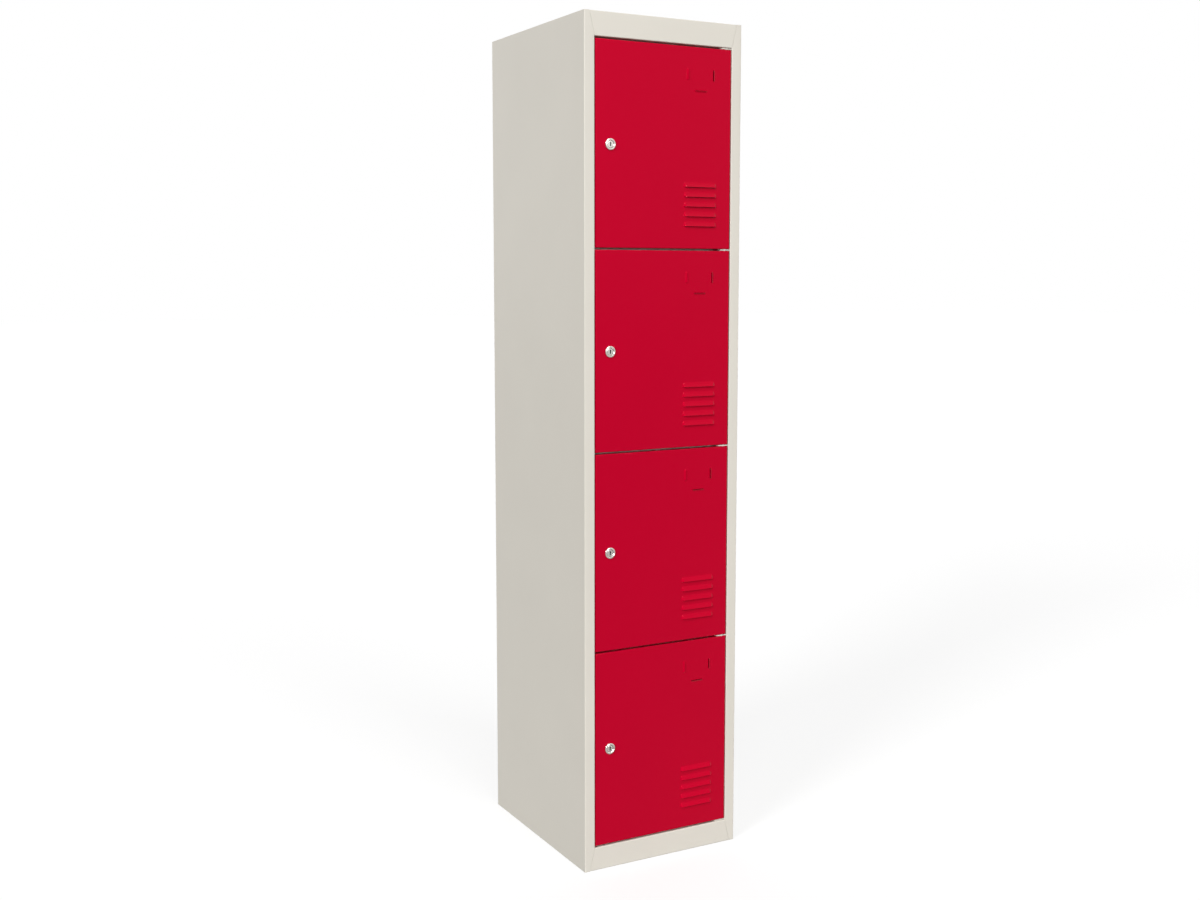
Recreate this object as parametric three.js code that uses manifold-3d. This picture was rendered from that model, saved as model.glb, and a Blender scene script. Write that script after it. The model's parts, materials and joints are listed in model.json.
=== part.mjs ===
// A steel locker with four equal doors, one above the other, in millimetres.
// +Z is up, the doors face -Y, and the origin is on the floor under the cabinet's middle.
// Doors, and what belongs to them, are numbered from the bottom up.
import * as THREE from 'three';
import { mergeVertices } from 'three/addons/utils/BufferGeometryUtils.js';
import Module from 'manifold-3d';

const wasm = await Module();
wasm.setup();

// Cabinet
const WIDTH = 380;
const DEPTH = 450;
const HEIGHT = 1800;
const DOORS = 4;

// Sheet steel and fits
const SHEET = 0.8;
const BEND = 1; // inside radius of a fold
const SEAM = 0.3; // between sheets that are welded to each other
const SEAT = 0.1; // between a small piece and its seat
const RUNNING = 0.3; // between pieces that move past each other
const OVERRUN = 6; // how far a cut runs past what it cuts

// Front frame
const STILE = 24; // width of each upright
const RAIL = 50; // height of the top and bottom rails
const MITRE = 12; // how much of the stile's width is left where the mitre meets the outer edge
const JAMB = 22; // from the front face to the back of the stile's lips
const STILE_LIP = 12;
const FOOT_LIP = 14; // the bottom rail's fold along the floor
const REAR_FLANGE = 18;
const SIDE_FLANGE = 15; // folds of the shelves and panels along the sides and the back

// Shelves
const SHELF_RISE = 12.5; // from the middle of a gap between doors to the top of the shelf behind it
const SHELF_HEM = 10;

// Doors
const DOOR_GAP = 4; // above, below and between the doors
const DOOR_SIDE_GAP = 2;
const DOOR_FOLD = 16; // depth of the folded pan
const DOOR_LIP = 14;
const LIP_SLIT = 0.4; // the open mitre between two lips
const DOOR_SWING_X = 11; // from the door's right edge to its pins
const DOOR_SWING_Y = 6; // from the door's front face to its pins

// Pressings in a door's face
const PRESSING_INSET = 76; // from the door's right edge to the middle of the louvres and card lips
const LOUVRES = 5;
const LOUVRE_LENGTH = 82;
const LOUVRE_REACH = 11;
const LOUVRE_DEPTH = 4;
const LOUVRE_PITCH = 20.6;
const LOUVRE_RISE = 47; // from the door's lower edge to the lowest louvre
const CARD_WIDTH = 63;
const CARD_DROP = 57; // from the door's top edge to the middle of the upright lips
const CARD_FOOT_DROP = 90; // from the door's top edge to the lying lip
const CARD_LIP_LENGTH = 26;
const CARD_FOOT_LENGTH = 32;
const CARD_LIP_REACH = 6;
const CARD_LIP_DEPTH = 2.2;
const PRESS_SLIT = 0.6; // how far the cut runs past a pressing's open edge

// Hinges
const PLATE = 2;
const PLATE_LENGTH = 27;
const PLATE_SETBACK = 1;
const PLATE_CORNER = 9;
const PIN_RADIUS = 2.5;
const PIN_REACH = 8; // how far a pin stands out of its plate
const PIN_CHAMFER = 0.6;
const BUSH_RADIUS = 3.6;
const BUSH_FLANGE_RADIUS = 4.8;
const BUSH_LENGTH = 5;

// Cam lock
const LOCK_INSET = 34; // from the door's left edge to the lock's axis
const BEZEL_RADIUS = 12;
const BEZEL_FACE_RADIUS = 10.4;
const BEZEL_HEIGHT = 3.2;
const BEZEL_RECESS = 1;
const BARREL_RADIUS = 9;
const BARREL_FLATS = 16;
const PLUG_RADIUS = 6;
const PLUG_HEAD_RADIUS = 7.6;
const PLUG_HEAD = 1.6;
const KEYWAY_LENGTH = 8;
const KEYWAY_WIDTH = 1.6;
const KEYWAY_DEPTH = 14;
const NUT_FLATS = 22;
const NUT_HEIGHT = 4;
const CAM = 2;
const CAM_WIDTH = 16;
const CAM_TIP_WIDTH = 12;
const CAM_CATCH = 9; // how far the cam reaches behind the stile
const CAM_CLEARANCE = 0.8;
const TANG = 7; // across the square that carries the cam
const SCREW_RADIUS = 2.5;
const SCREW_LENGTH = 8;
const SCREW_HEAD_RADIUS = 4.6;
const SCREW_HEAD = 3;
const LOCK_CHAMFER = 0.8;

// Door buffers
const BUFFER_RADIUS = 4;
const BUFFER_NECK_RADIUS = 1.8;
const BUFFER_BULB_RADIUS = 2.8;
const BUFFER_BULB = 3;
const BUFFER_OFFSET = 6.6; // from the middle of a gap between doors
const BUFFER_INSET = 12; // from the opening's left edge

// Facets
const BEND_STEPS = 3;
const PRESS_STEPS = 3;
const PRESS_ROUND = 12;
const CURVE_STEPS = 6;
const FINE_ROUND = 18;
const SMALL_ROUND = 12;

// Places that follow from those sizes
const FRONT = -DEPTH / 2;
const BACK = DEPTH / 2;
const STRIKE = FRONT + JAMB + SEAM; // the plane in front of the shelves, where a door stops
const PANEL_HALF = WIDTH / 2 - SHEET - SEAM; // half the width of what fits between the sides
const BACK_SHEET = BACK - SHEET - SEAM - SHEET;
const PANEL_REAR = BACK_SHEET - SEAM;
const DOOR_WIDTH = WIDTH - 2 * (STILE + DOOR_SIDE_GAP);
const DOOR_HEIGHT = (HEIGHT - 2 * RAIL - (DOORS + 1) * DOOR_GAP) / DOORS;
const SWING_X = WIDTH / 2 - STILE - DOOR_SIDE_GAP - DOOR_SWING_X;
const SWING_Y = FRONT + DOOR_SWING_Y;
const BARREL = JAMB + CAM_CLEARANCE - SEAT;
const CAM_REACH = LOCK_INSET + DOOR_SIDE_GAP + CAM_CATCH;
const BUFFER_X = -WIDTH / 2 + STILE + BUFFER_INSET;
const gapMiddle = (k) => RAIL + DOOR_GAP / 2 + k * (DOOR_HEIGHT + DOOR_GAP);

// Paint and metal
const framePaint = { color: 0xe2dfd6, roughness: 0.45, metalness: 0 };
const doorPaint = { color: 0xbf0029, roughness: 0.35, metalness: 0 };
const zinc = { color: 0xc9c9c4, roughness: 0.4, metalness: 0.9 };
const chrome = { color: 0xe4e4e2, roughness: 0.15, metalness: 1 };
const nylon = { color: 0xe8e6de, roughness: 0.6, metalness: 0 };
const rubber = { color: 0x1d1d1e, roughness: 0.85, metalness: 0 };

function solid(geometry) {
  const bare = geometry.clone();
  bare.deleteAttribute('normal');
  bare.deleteAttribute('uv');
  const merged = mergeVertices(bare);
  return new wasm.Manifold(new wasm.Mesh({
    numProp: 3,
    vertProperties: merged.attributes.position.array,
    triVerts: Uint32Array.from(merged.index.array),
  }));
}

function geometryOf(shape) {
  const mesh = shape.getMesh();
  const geometry = new THREE.BufferGeometry();
  geometry.setAttribute('position', new THREE.BufferAttribute(new Float32Array(mesh.vertProperties), 3));
  geometry.setIndex(new THREE.BufferAttribute(new Uint32Array(mesh.triVerts), 1));
  return geometry;
}

function piece(name, shape, look) {
  const mesh = new THREE.Mesh(geometryOf(shape), new THREE.MeshStandardMaterial(look));
  mesh.name = name;
  return mesh;
}

function group(x, y, z, ...held) {
  const made = new THREE.Group();
  made.position.set(x, y, z);
  if (held.length) made.add(...held);
  return made;
}

// A solid turned and moved by a matrix.
function placed(shape, matrix) {
  return solid(geometryOf(shape).applyMatrix4(matrix));
}

function block(x0, x1, y0, y1, z0, z1) {
  const box = new THREE.BoxGeometry(x1 - x0, y1 - y0, z1 - z0);
  return solid(box.translate((x0 + x1) / 2, (y0 + y1) / 2, (z0 + z1) / 2));
}

function extruded(shape, depth) {
  return new THREE.ExtrudeGeometry(shape, { depth, bevelEnabled: false, curveSegments: CURVE_STEPS });
}

// An outline drawn in (y, z), carried along X.
function alongX(shape, x0, x1) {
  const geometry = extruded(shape, x1 - x0);
  const turn = new THREE.Matrix4().makeBasis(
    new THREE.Vector3(0, 1, 0),
    new THREE.Vector3(0, 0, 1),
    new THREE.Vector3(1, 0, 0),
  );
  return solid(geometry.applyMatrix4(turn).translate(x0, 0, 0));
}

// An outline drawn in (x, z), carried along Y.
function alongY(shape, y0, y1) {
  const geometry = extruded(shape, y1 - y0);
  const turn = new THREE.Matrix4().makeBasis(
    new THREE.Vector3(1, 0, 0),
    new THREE.Vector3(0, 0, 1),
    new THREE.Vector3(0, -1, 0),
  );
  return solid(geometry.applyMatrix4(turn).translate(0, y1, 0));
}

// An outline drawn in (x, y), carried along Z.
function alongZ(shape, z0, z1) {
  return solid(extruded(shape, z1 - z0).translate(0, 0, z0));
}

function outline(points) {
  return new THREE.Shape(points.map(([x, y]) => new THREE.Vector2(x, y)));
}

// The outline of a sheet folded along a path of its middle line, every corner a round fold.
function folded(path) {
  const points = path.map(([x, y]) => new THREE.Vector2(x, y));
  const middleRadius = BEND + SHEET / 2;
  const line = [];
  points.forEach((corner, i) => {
    const before = points[i - 1];
    const after = points[i + 1];
    const inward = (before ? corner.clone().sub(before) : after.clone().sub(corner)).normalize();
    const normal = new THREE.Vector2(-inward.y, inward.x);
    if (!before || !after) {
      line.push([corner, normal]);
      return;
    }
    const outward = after.clone().sub(corner).normalize();
    const turn = Math.atan2(inward.cross(outward), inward.dot(outward));
    const start = corner.clone().addScaledVector(inward, -middleRadius * Math.tan(Math.abs(turn) / 2));
    const centre = start.clone().addScaledVector(normal, Math.sign(turn) * middleRadius);
    for (let step = 0; step <= BEND_STEPS; step += 1) {
      const angle = (turn * step) / BEND_STEPS;
      line.push([
        start.clone().rotateAround(centre, angle),
        normal.clone().rotateAround(new THREE.Vector2(), angle),
      ]);
    }
  });
  const side = (offset) => line.map(([point, normal]) => point.clone().addScaledVector(normal, offset));
  return new THREE.Shape([...side(SHEET / 2), ...side(-SHEET / 2).reverse()]);
}

// A shape turned about the Y axis from a profile of (radius, y), front first.
function turned(profile, round) {
  return solid(new THREE.LatheGeometry(profile.map(([r, y]) => new THREE.Vector2(r, y)), round));
}

// The same about the Z axis, with its profile from the bottom up.
function turnedUpright(profile, round) {
  const lathe = new THREE.LatheGeometry(profile.map(([r, z]) => new THREE.Vector2(r, z)), round);
  return solid(lathe.rotateX(Math.PI / 2));
}

// The mitre between a rail and a stile, in (x, z) at the right-hand end of a rail.
// Heights run from the opening's edge (0) to the rail's outer edge (RAIL).
function mitreOutline(shift, towardStile, up) {
  const inner = WIDTH / 2 - STILE + shift;
  const outer = WIDTH / 2 - MITRE + shift;
  const far = towardStile ? WIDTH / 2 + OVERRUN : WIDTH / 2 - STILE - OVERRUN;
  const low = towardStile ? -OVERRUN : -SEAM;
  const edge = up ? HEIGHT - RAIL : RAIL;
  const sign = up ? 1 : -1;
  return [
    [far, edge + sign * low],
    [inner, edge + sign * low],
    [inner, edge],
    [outer, edge + sign * RAIL],
    [outer, edge + sign * (RAIL + OVERRUN)],
    [far, edge + sign * (RAIL + OVERRUN)],
  ];
}

function mitreCut(side, shift, towardStile, up, y1) {
  const points = mitreOutline(shift, towardStile, up).map(([x, z]) => [side * x, z]);
  return alongY(outline(points), FRONT - OVERRUN, y1);
}

// A side of the cabinet: wall, stile, jamb with its lip, and rear flange, all of one sheet.
function sidePanel(side) {
  const x = (inset) => side * (WIDTH / 2 - inset);
  const jambMiddle = FRONT + JAMB - SHEET / 2;
  let shape = alongZ(folded([
    [x(STILE - STILE_LIP), jambMiddle],
    [x(STILE - SHEET / 2), jambMiddle],
    [x(STILE - SHEET / 2), FRONT + SHEET / 2],
    [x(SHEET / 2), FRONT + SHEET / 2],
    [x(SHEET / 2), BACK - SHEET / 2],
    [x(REAR_FLANGE), BACK - SHEET / 2],
  ]), 0, HEIGHT);
  const lipEdges = [x(STILE - STILE_LIP - OVERRUN), x(STILE + OVERRUN)].sort((a, b) => a - b);
  for (const up of [false, true]) {
    shape = shape.subtract(mitreCut(side, SEAM / 2, false, up, FRONT + JAMB + OVERRUN));
    const lipEnds = up ? [HEIGHT - RAIL - SEAM, HEIGHT + OVERRUN] : [-OVERRUN, RAIL + SEAM];
    shape = shape.subtract(block(...lipEdges, FRONT + SHEET + BEND, FRONT + JAMB + OVERRUN, ...lipEnds));
  }
  return shape;
}

// The downward folds along both sides of a plate whose top is at z.
function sideFlanges(plate, z, y0, y1) {
  let shape = plate;
  for (const side of [-1, 1]) {
    const edges = [side * PANEL_HALF, side * (PANEL_HALF - SHEET)].sort((a, b) => a - b);
    shape = shape.add(block(...edges, y0, y1, z - SIDE_FLANGE, z - SHEET / 2));
  }
  return shape;
}

// The roof, folded down in front as the top rail, back under it and down again behind the doors.
function topPanel() {
  const strikeMiddle = STRIKE + SHEET / 2;
  let shape = alongX(folded([
    [strikeMiddle, gapMiddle(DOORS) - SHELF_RISE],
    [strikeMiddle, HEIGHT - RAIL + SHEET / 2],
    [FRONT + SHEET / 2, HEIGHT - RAIL + SHEET / 2],
    [FRONT + SHEET / 2, HEIGHT - SHEET / 2],
    [BACK - SHEET / 2, HEIGHT - SHEET / 2],
    [BACK - SHEET / 2, HEIGHT - REAR_FLANGE],
  ]), -PANEL_HALF, PANEL_HALF);
  shape = sideFlanges(shape, HEIGHT, STRIKE + SHELF_HEM, PANEL_REAR - SHELF_HEM);
  for (const side of [-1, 1]) {
    const flangeEdge = side * (WIDTH / 2 - REAR_FLANGE - SEAM);
    const edges = [flangeEdge, side * (WIDTH / 2 + OVERRUN)].sort((a, b) => a - b);
    shape = shape
      .subtract(mitreCut(side, -SEAM / 2, true, true, FRONT + SHEET + BEND + SEAM))
      .subtract(block(...edges, BACK - SHEET - BEND - SEAM, BACK + OVERRUN,
        HEIGHT - REAR_FLANGE - OVERRUN, HEIGHT + OVERRUN));
  }
  return shape;
}

// The floor of the lowest compartment, stepped down behind the door to the bottom rail.
function bottomPanel() {
  const strikeMiddle = STRIKE + SHEET / 2;
  const floor = gapMiddle(0) + SHELF_RISE;
  let shape = alongX(folded([
    [FRONT + FOOT_LIP, SHEET / 2],
    [FRONT + SHEET / 2, SHEET / 2],
    [FRONT + SHEET / 2, RAIL - SHEET / 2],
    [strikeMiddle, RAIL - SHEET / 2],
    [strikeMiddle, floor - SHEET / 2],
    [PANEL_REAR - SHEET / 2, floor - SHEET / 2],
    [PANEL_REAR - SHEET / 2, floor - SIDE_FLANGE],
  ]), -PANEL_HALF, PANEL_HALF);
  shape = sideFlanges(shape, floor, STRIKE + SHELF_HEM, PANEL_REAR - SHELF_HEM);
  for (const side of [-1, 1]) {
    shape = shape.subtract(mitreCut(side, -SEAM / 2, true, false, FRONT + SHEET + BEND + SEAM));
  }
  return bufferHoles(shape, gapMiddle(0), [1]);
}

// A shelf, with z = 0 at the middle of the gap in front of it.
function shelf() {
  const plate = alongX(folded([
    [STRIKE + SHELF_HEM, SHEET / 2 - SHELF_RISE],
    [STRIKE + SHEET / 2, SHEET / 2 - SHELF_RISE],
    [STRIKE + SHEET / 2, SHELF_RISE - SHEET / 2],
    [PANEL_REAR - SHEET / 2, SHELF_RISE - SHEET / 2],
    [PANEL_REAR - SHEET / 2, SHELF_RISE - SIDE_FLANGE],
  ]), -PANEL_HALF, PANEL_HALF);
  const shape = sideFlanges(plate, SHELF_RISE, STRIKE + SHELF_HEM + SEAM, PANEL_REAR - SHELF_HEM);
  return bufferHoles(shape, 0, [-1, 1]);
}

// The holes that hold the door buffers, above (1) or below (-1) the middle of a gap.
function bufferHoles(shape, z, places) {
  const hole = turned([
    [0, STRIKE - OVERRUN],
    [BUFFER_NECK_RADIUS + SEAT, STRIKE - OVERRUN],
    [BUFFER_NECK_RADIUS + SEAT, STRIKE + SHEET + BEND],
    [0, STRIKE + SHEET + BEND],
  ], SMALL_ROUND);
  let cut = shape;
  for (const place of places) {
    const at = new THREE.Matrix4().makeTranslation(BUFFER_X, 0, z + place * BUFFER_OFFSET);
    cut = cut.subtract(placed(hole, at));
  }
  return cut;
}

// A rubber buffer, with y = 0 on the sheet's front.
function buffer() {
  const head = -(STRIKE - FRONT - DOOR_FOLD - RUNNING);
  const dome = BUFFER_RADIUS / 4;
  return turned([
    [0, head],
    [BUFFER_RADIUS - dome, head],
    [BUFFER_RADIUS, head + dome],
    [BUFFER_RADIUS, -SEAT],
    [BUFFER_NECK_RADIUS, -SEAT],
    [BUFFER_NECK_RADIUS, SHEET + SEAT],
    [BUFFER_BULB_RADIUS, SHEET + SEAT],
    [BUFFER_NECK_RADIUS, SHEET + BUFFER_BULB],
    [0, SHEET + BUFFER_BULB],
  ], SMALL_ROUND);
}

function backPanel() {
  const half = WIDTH / 2 - SHEET - BEND - SEAM;
  return block(-half, half, BACK_SHEET, BACK_SHEET + SHEET, 0, HEIGHT - SHEET - BEND - SEAM);
}

// A block whose edges round its front are folds of the given outside radius.
function frontFolded(x0, x1, y0, y1, z0, z1, radius) {
  const roundFront = (u0, u1) => {
    const points = [[u1, y1], [u0, y1]];
    for (const [middle, start] of [[u0 + radius, Math.PI], [u1 - radius, 1.5 * Math.PI]]) {
      for (let step = 0; step <= BEND_STEPS; step += 1) {
        const angle = start + (step * Math.PI) / 2 / BEND_STEPS;
        points.push([middle + radius * Math.cos(angle), y0 + radius + radius * Math.sin(angle)]);
      }
    }
    return points;
  };
  const plan = alongZ(outline(roundFront(x0, x1)), z0, z1);
  const elevation = alongX(outline(roundFront(z0, z1).map(([z, y]) => [y, z])), x0, x1);
  return plan.intersect(elevation);
}

// A bulge pressed out of a sheet whose front is y = 0. Its middle line lies along X at z = 0.
// Its height fades to nothing over its reach, in an S-shaped slope.
function bulge(length, reach, depth, root) {
  const slope = [];
  for (let step = 0; step <= PRESS_STEPS; step += 1) {
    const share = step / PRESS_STEPS;
    slope.push([reach * share, (-depth * (1 + Math.cos(Math.PI * share))) / 2]);
  }
  const end = turned([...slope, [reach, root], [0, root]], PRESS_ROUND);
  const half = length / 2 - reach;
  const upper = [...slope, [reach, root]];
  const lower = upper.slice(1).reverse().map(([z, y]) => [-z, y]);
  let shape = alongX(outline([...upper, ...lower].map(([z, y]) => [y, z])), -half, half);
  for (const side of [-1, 1]) {
    shape = shape.add(placed(end, new THREE.Matrix4().makeTranslation(side * half, 0, 0)));
  }
  return shape;
}

// Presses an open hood out of a sheet. The hood opens towards -Z, turned by an angle about Y.
function pressHood(sheet, { x, y, z, angle, length, reach, depth }) {
  const at = new THREE.Matrix4().makeRotationY(angle).setPosition(x, y, z);
  const far = length + OVERRUN;
  const skin = block(-far, far, -far, far, 0, far);
  const air = block(-far, far, -far, far, -PRESS_SLIT, far);
  const outside = bulge(length, reach, depth, SHEET / 2).intersect(skin);
  const inside = bulge(length - 2 * SHEET, reach - SHEET, depth, SHEET + OVERRUN).intersect(air);
  const hollow = placed(inside, new THREE.Matrix4().makeTranslation(0, SHEET, 0));
  return sheet.add(placed(outside, at)).subtract(placed(hollow, at));
}

// A door: a pan folded on four sides, with lips round its back, louvres and card lips.
// x = y = 0 is the line of its pins and z = 0 its lower edge.
function doorPanel() {
  const x0 = DOOR_SWING_X - DOOR_WIDTH;
  const x1 = DOOR_SWING_X;
  const y0 = -DOOR_SWING_Y;
  const y1 = y0 + DOOR_FOLD;
  const z1 = DOOR_HEIGHT;
  let shape = frontFolded(x0, x1, y0, y1, 0, z1, BEND + SHEET)
    .subtract(frontFolded(x0 + SHEET, x1 - SHEET, y0 + SHEET, y1 - SHEET, SHEET, z1 - SHEET, BEND))
    .subtract(block(x0 + DOOR_LIP, x1 - DOOR_LIP, y1 - OVERRUN, y1 + OVERRUN, DOOR_LIP, z1 - DOOR_LIP));
  const slitHalf = LIP_SLIT / 2;
  const slit = block(-DOOR_LIP * 2, DOOR_LIP * 2, y1 - SHEET * 1.5, y1 + OVERRUN, -slitHalf, slitHalf);
  for (const [x, slantX] of [[x0, 1], [x1, -1]]) {
    for (const [z, slantZ] of [[0, 1], [z1, -1]]) {
      const turn = new THREE.Matrix4().makeRotationY((-slantX * slantZ * Math.PI) / 4);
      shape = shape.subtract(placed(slit, turn.setPosition(x, 0, z)));
    }
  }
  for (let k = 0; k < LOUVRES; k += 1) {
    shape = pressHood(shape, {
      x: x1 - PRESSING_INSET,
      y: y0,
      z: LOUVRE_RISE + k * LOUVRE_PITCH,
      angle: 0,
      length: LOUVRE_LENGTH,
      reach: LOUVRE_REACH,
      depth: LOUVRE_DEPTH,
    });
  }
  const lip = { y: y0, reach: CARD_LIP_REACH, depth: CARD_LIP_DEPTH };
  for (const side of [-1, 1]) {
    shape = pressHood(shape, {
      ...lip,
      x: x1 - PRESSING_INSET + (side * CARD_WIDTH) / 2,
      z: z1 - CARD_DROP,
      angle: (side * Math.PI) / 2,
      length: CARD_LIP_LENGTH,
    });
  }
  shape = pressHood(shape, {
    ...lip,
    x: x1 - PRESSING_INSET,
    z: z1 - CARD_FOOT_DROP,
    angle: Math.PI,
    length: CARD_FOOT_LENGTH,
  });
  const pinHole = turnedUpright([
    [0, -OVERRUN],
    [BUSH_RADIUS + SEAT, -OVERRUN],
    [BUSH_RADIUS + SEAT, z1 + OVERRUN],
    [0, z1 + OVERRUN],
  ], SMALL_ROUND);
  const lockHole = barrelShape(BARREL_RADIUS + SEAT, BARREL_FLATS + 2 * SEAT, -OVERRUN, OVERRUN);
  const lockPlace = new THREE.Matrix4().makeTranslation(x0 + LOCK_INSET, y0, z1 / 2);
  return shape.subtract(pinHole).subtract(placed(lockHole, lockPlace));
}

// A round bar along Y with two flats.
function barrelShape(radius, flats, y0, y1) {
  const bar = turned([[0, y0], [radius, y0], [radius, y1], [0, y1]], FINE_ROUND);
  return bar.intersect(block(-flats / 2, flats / 2, y0 - OVERRUN, y1 + OVERRUN, -radius, radius));
}

// The lock's body, with y = 0 on the door's front face.
function lockBody() {
  const face = -SEAT - BEZEL_HEIGHT;
  const headHole = PLUG_HEAD_RADIUS + SEAT;
  const bore = PLUG_RADIUS + RUNNING / 2;
  const barrel = barrelShape(BARREL_RADIUS, BARREL_FLATS, -SEAT * 2, BARREL);
  const bezel = turned([
    [0, face],
    [BEZEL_FACE_RADIUS, face],
    [BEZEL_RADIUS - LOCK_CHAMFER / 2, face + LOCK_CHAMFER],
    [BEZEL_RADIUS, face + 2 * LOCK_CHAMFER],
    [BEZEL_RADIUS, -SEAT],
    [0, -SEAT],
  ], FINE_ROUND);
  const inside = turned([
    [0, face - OVERRUN],
    [headHole + LOCK_CHAMFER, face - OVERRUN],
    [headHole + LOCK_CHAMFER, face],
    [headHole, face + BEZEL_RECESS],
    [headHole, face + BEZEL_RECESS + PLUG_HEAD + SEAT],
    [bore, face + BEZEL_RECESS + PLUG_HEAD + SEAT],
    [bore, BARREL + OVERRUN],
    [0, BARREL + OVERRUN],
  ], FINE_ROUND);
  return bezel.add(barrel).subtract(inside);
}

// The plug that the key turns, with the square tang that carries the cam.
function lockPlug() {
  const face = -SEAT - BEZEL_HEIGHT + BEZEL_RECESS;
  const tangEnd = BARREL + SEAT + CAM;
  const shank = turned([
    [0, face],
    [PLUG_HEAD_RADIUS - LOCK_CHAMFER / 2, face],
    [PLUG_HEAD_RADIUS - SEAT, face + LOCK_CHAMFER / 2],
    [PLUG_HEAD_RADIUS - SEAT, face + PLUG_HEAD],
    [PLUG_RADIUS, face + PLUG_HEAD],
    [PLUG_RADIUS, BARREL - SEAT],
    [0, BARREL - SEAT],
  ], FINE_ROUND);
  const tang = block(-TANG / 2, TANG / 2, BARREL - OVERRUN, tangEnd, -TANG / 2, TANG / 2);
  const keyway = block(-KEYWAY_WIDTH / 2, KEYWAY_WIDTH / 2, face - OVERRUN, face + KEYWAY_DEPTH,
    -KEYWAY_LENGTH / 2, KEYWAY_LENGTH / 2);
  const threadHole = turned([
    [0, tangEnd - SCREW_LENGTH - SEAT],
    [SCREW_RADIUS + SEAT, tangEnd - SCREW_LENGTH - SEAT],
    [SCREW_RADIUS + SEAT, tangEnd + OVERRUN],
    [0, tangEnd + OVERRUN],
  ], SMALL_ROUND);
  return shank.add(tang).subtract(keyway).subtract(threadHole);
}

function lockNut() {
  const hexagon = new THREE.Shape();
  const reach = NUT_FLATS / 2 / Math.cos(Math.PI / 6);
  for (let k = 0; k < 6; k += 1) {
    const angle = (k * Math.PI) / 3;
    const corner = [reach * Math.cos(angle), reach * Math.sin(angle)];
    if (k) hexagon.lineTo(...corner);
    else hexagon.moveTo(...corner);
  }
  const front = SHEET + SEAT;
  const nut = alongY(hexagon, front, front + NUT_HEIGHT);
  const corners = turned([
    [0, front],
    [reach, front],
    [reach, front + NUT_HEIGHT - LOCK_CHAMFER],
    [reach - 2 * LOCK_CHAMFER, front + NUT_HEIGHT],
    [0, front + NUT_HEIGHT],
  ], FINE_ROUND);
  const hole = turned([
    [0, -OVERRUN],
    [BARREL_RADIUS + SEAT, -OVERRUN],
    [BARREL_RADIUS + SEAT, front + NUT_HEIGHT + OVERRUN],
    [0, front + NUT_HEIGHT + OVERRUN],
  ], FINE_ROUND);
  return nut.intersect(corners).subtract(hole);
}

// The cam, hanging down from the lock's axis as it does when the lock is open.
function lockCam() {
  const front = BARREL + SEAT;
  const tip = new THREE.Shape();
  const tipMiddle = CAM_TIP_WIDTH / 2 - CAM_REACH;
  tip.moveTo(-CAM_WIDTH / 2, 0);
  tip.lineTo(-CAM_TIP_WIDTH / 2, tipMiddle);
  tip.absarc(0, tipMiddle, CAM_TIP_WIDTH / 2, Math.PI, 2 * Math.PI, false);
  tip.lineTo(CAM_WIDTH / 2, 0);
  tip.absarc(0, 0, CAM_WIDTH / 2, 0, Math.PI, false);
  const half = TANG / 2 + SEAT;
  return alongY(tip, front, front + CAM)
    .subtract(block(-half, half, front - OVERRUN, front + CAM + OVERRUN, -half, half));
}

function camScrew() {
  const seat = BARREL + SEAT + CAM + SEAT;
  const tip = seat - SCREW_LENGTH;
  const round = turned([
    [0, tip],
    [SCREW_RADIUS, tip],
    [SCREW_RADIUS, seat],
    [SCREW_HEAD_RADIUS, seat],
    [SCREW_HEAD_RADIUS, seat + SCREW_HEAD - LOCK_CHAMFER],
    [SCREW_HEAD_RADIUS - LOCK_CHAMFER, seat + SCREW_HEAD],
    [0, seat + SCREW_HEAD],
  ], SMALL_ROUND);
  const slot = block(-SCREW_HEAD_RADIUS - OVERRUN, SCREW_HEAD_RADIUS + OVERRUN,
    seat + SCREW_HEAD / 2, seat + SCREW_HEAD + OVERRUN, -LOCK_CHAMFER / 2, LOCK_CHAMFER / 2);
  return round.subtract(slot);
}

// A hinge plate, with its pin's line at x = y = 0 and z = 0 in the middle of its thickness.
function hingePlate() {
  const right = DOOR_SWING_X + DOOR_SIDE_GAP - SEAM;
  const left = right - PLATE_LENGTH;
  const front = FRONT + PLATE_SETBACK - SWING_Y;
  const rear = STRIKE - SEAM - SWING_Y;
  const shape = new THREE.Shape();
  shape.moveTo(right, front);
  shape.lineTo(right, rear);
  shape.lineTo(left, rear);
  shape.absarc(left + PLATE_CORNER, front + PLATE_CORNER, PLATE_CORNER, Math.PI, 1.5 * Math.PI, false);
  const hole = turnedUpright([
    [0, -PLATE],
    [PIN_RADIUS + SEAT, -PLATE],
    [PIN_RADIUS + SEAT, PLATE],
    [0, PLATE],
  ], SMALL_ROUND);
  return alongZ(shape, -PLATE / 2, PLATE / 2).subtract(hole);
}

// A pin that stands out of its plate above, below or both.
function hingePin(above, below) {
  const top = PLATE / 2 + (above ? PIN_REACH : 0);
  const bottom = -PLATE / 2 - (below ? PIN_REACH : 0);
  return turnedUpright([
    [0, bottom],
    [PIN_RADIUS - PIN_CHAMFER, bottom],
    [PIN_RADIUS, bottom + PIN_CHAMFER],
    [PIN_RADIUS, top - PIN_CHAMFER],
    [PIN_RADIUS - PIN_CHAMFER, top],
    [0, top],
  ], SMALL_ROUND);
}

// A flanged bush in a door's lower flange, with z = 0 on the door's lower edge.
function hingeBush() {
  const flange = DOOR_GAP / 2 - PLATE / 2 - RUNNING;
  const bore = (PIN_RADIUS + SEAT) / Math.cos(Math.PI / SMALL_ROUND);
  return turnedUpright([
    [bore, -flange],
    [BUSH_FLANGE_RADIUS, -flange],
    [BUSH_FLANGE_RADIUS, -SEAT],
    [BUSH_RADIUS, -SEAT],
    [BUSH_RADIUS, BUSH_LENGTH],
    [bore, BUSH_LENGTH],
    [bore, -flange],
  ], SMALL_ROUND);
}

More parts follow.
